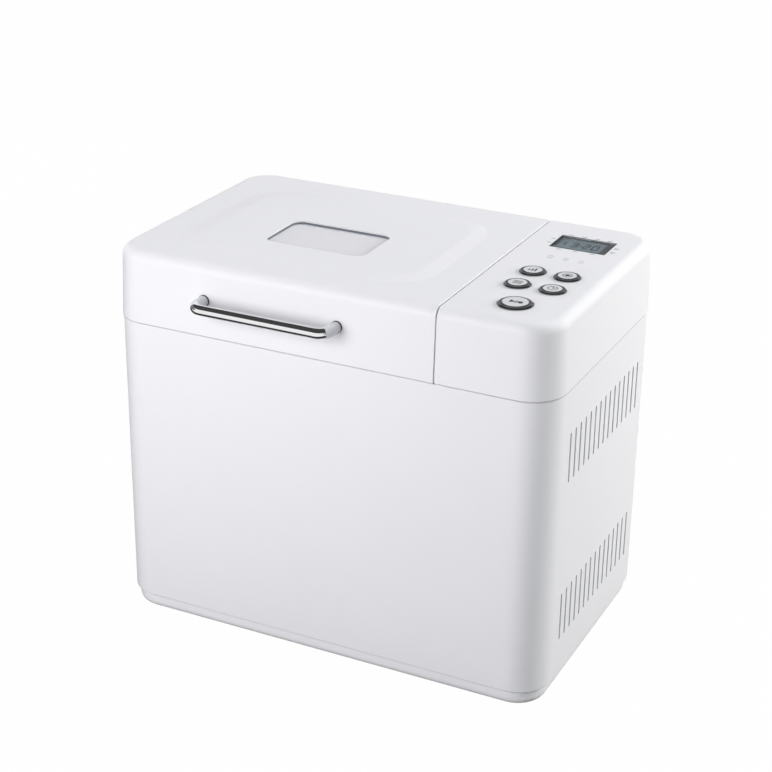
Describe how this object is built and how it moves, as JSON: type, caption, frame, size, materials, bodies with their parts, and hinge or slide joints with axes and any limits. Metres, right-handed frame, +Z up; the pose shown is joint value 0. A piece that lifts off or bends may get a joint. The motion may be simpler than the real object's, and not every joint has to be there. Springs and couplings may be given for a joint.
{
  "type": "bread machine",
  "caption": "Countertop bread machine with a hinged lid, viewing window, bar handle, control panel with display and push buttons, oven with a lift-out pan, and a belt-driven kneading paddle",
  "frame": {"origin": "middle of the overall box, on the floor under the feet", "axes": "+X to the right seen from the front, +Y to the back where the hinge is, +Z up; the handle and the user are at -Y"},
  "size_m": [0.3514, 0.2517, 0.3014],
  "materials": {
    "shell_plastic": "satin",
    "deck_plastic": "matte",
    "hinge_plastic": "satin",
    "post_plastic": "satin",
    "bar_chrome": "polished",
    "ring_chrome": "polished",
    "button_silver": "satin metallic",
    "display_glass": "polished",
    "display_panel": "matte",
    "window_glass": "polished",
    "retainer_plastic": "matte",
    "liner_steel": "satin",
    "nonstick": "satin",
    "sheet_steel": "satin",
    "turned_steel": "fine turned",
    "screw_steel": "zinc plated",
    "cast_alloy": "as cast",
    "bearing_bronze": "sintered",
    "stator_iron": "laminated",
    "heater_sheath": "oxidised",
    "pulley_plastic": "matte",
    "black_rubber": "matte",
    "foot_rubber": "matte",
    "board_laminate": "satin",
    "component_plastic": "matte"
  },
  "bodies": {
    "machine": {"base_screws": "screw_steel", "base_tray": "shell_plastic", "bearing_bushes": "bearing_bronze", "bearing_housing": "cast_alloy", "button_bezels": "ring_chrome", "button_switches": "component_plastic", "chassis_plate": "sheet_steel", "control_board": "board_laminate", "control_housing": "shell_plastic", "cord_gland": "black_rubber", "display_module": "display_panel", "display_window": "display_glass", "drive_belt": "black_rubber", "heater_clips": "sheet_steel", "heating_element": "heater_sheath", "hinge_brackets": "hinge_plastic", "hinge_pins": "turned_steel", "hinge_screws": "screw_steel", "housing_screws": "screw_steel", "motor_capacitor": "component_plastic", "motor_end_bells": "cast_alloy", "motor_stator": "stator_iron", "outer_casing": "shell_plastic", "oven_liner": "liner_steel", "oven_standoffs": "sheet_steel", "pan_clips": "sheet_steel", "power_board": "board_laminate", "power_components": "component_plastic", "rubber_feet": "foot_rubber", "temperature_sensor": "turned_steel", "top_deck": "deck_plastic"},
    "lid": {"lid_cover": "shell_plastic", "lid_liner": "liner_steel", "lid_window": "window_glass", "window_retainer": "retainer_plastic", "handle_bar": "bar_chrome", "handle_posts": "post_plastic", "lid_screws": "screw_steel", "handle_screws": "screw_steel", "hinge_knuckles": "hinge_plastic"},
    "pan": {"bread_pan": "nonstick", "pan_foot": "sheet_steel", "pan_bush": "bearing_bronze", "shaft_seal": "black_rubber", "pan_ears": "sheet_steel"},
    "bail": {"pan_bail": "sheet_steel"},
    "paddle": {"paddle_shaft": "turned_steel", "pan_coupling": "cast_alloy", "kneading_paddle": "nonstick"},
    "drive": {"drive_shaft": "turned_steel", "large_pulley": "pulley_plastic", "pulley_nut": "turned_steel", "drive_coupling": "cast_alloy"},
    "motor": {"motor_rotor": "turned_steel", "motor_pulley": "pulley_plastic"},
    "rear_left_key": {"button_rear_left": "button_silver"},
    "rear_right_key": {"button_rear_right": "button_silver"},
    "front_left_key": {"button_front_left": "button_silver"},
    "front_right_key": {"button_front_right": "button_silver"},
    "start_key": {"start_button": "button_silver"}
  },
  "joints": [
    {"name": "lid_hinge", "type": "hinge", "parent": "machine", "child": "lid", "pos_m": [-0.04385, 0.12085, 0.25], "axis": [-1, 0, 0], "range_deg": [0, 95]},
    {"name": "pan_lift", "type": "slide", "parent": "machine", "child": "pan", "axis": [0, 0, 1], "range_m": [0, 0.034]},
    {"name": "bail_swing", "type": "hinge", "parent": "pan", "child": "bail", "pos_m": [-0.04385, 0.00485, 0.23875], "axis": [-1, 0, 0], "range_deg": [0, 34]},
    {"name": "drive_spin", "type": "hinge", "parent": "machine", "child": "drive", "pos_m": [-0.04385, 0.00485, 0.06], "axis": [0, 0, 1], "continuous": true},
    {"name": "paddle_spin", "type": "hinge", "parent": "pan", "child": "paddle", "pos_m": [-0.04385, 0.00485, 0.12], "axis": [0, 0, 1], "continuous": true},
    {"name": "motor_spin", "type": "hinge", "parent": "machine", "child": "motor", "pos_m": [0.1195, 0.00485, 0.09], "axis": [0, 0, 1], "continuous": true},
    {"name": "rear_left_press", "type": "slide", "parent": "machine", "child": "rear_left_key", "axis": [0, 0, -1], "range_m": [0, 0.001], "stiffness_N_per_m": 600, "springref_m": -0.0005},
    {"name": "rear_right_press", "type": "slide", "parent": "machine", "child": "rear_right_key", "axis": [0, 0, -1], "range_m": [0, 0.001], "stiffness_N_per_m": 600, "springref_m": -0.0005},
    {"name": "front_left_press", "type": "slide", "parent": "machine", "child": "front_left_key", "axis": [0, 0, -1], "range_m": [0, 0.001], "stiffness_N_per_m": 600, "springref_m": -0.0005},
    {"name": "front_right_press", "type": "slide", "parent": "machine", "child": "front_right_key", "axis": [0, 0, -1], "range_m": [0, 0.001], "stiffness_N_per_m": 600, "springref_m": -0.0005},
    {"name": "start_press", "type": "slide", "parent": "machine", "child": "start_key", "axis": [0, 0, -1], "range_m": [0, 0.001], "stiffness_N_per_m": 600, "springref_m": -0.0005}
  ],
  "couplings": [
    {"joint": "paddle_spin", "follows": "drive_spin", "ratio": 1},
    {"joint": "motor_spin", "follows": "drive_spin", "ratio": 6}
  ]
}
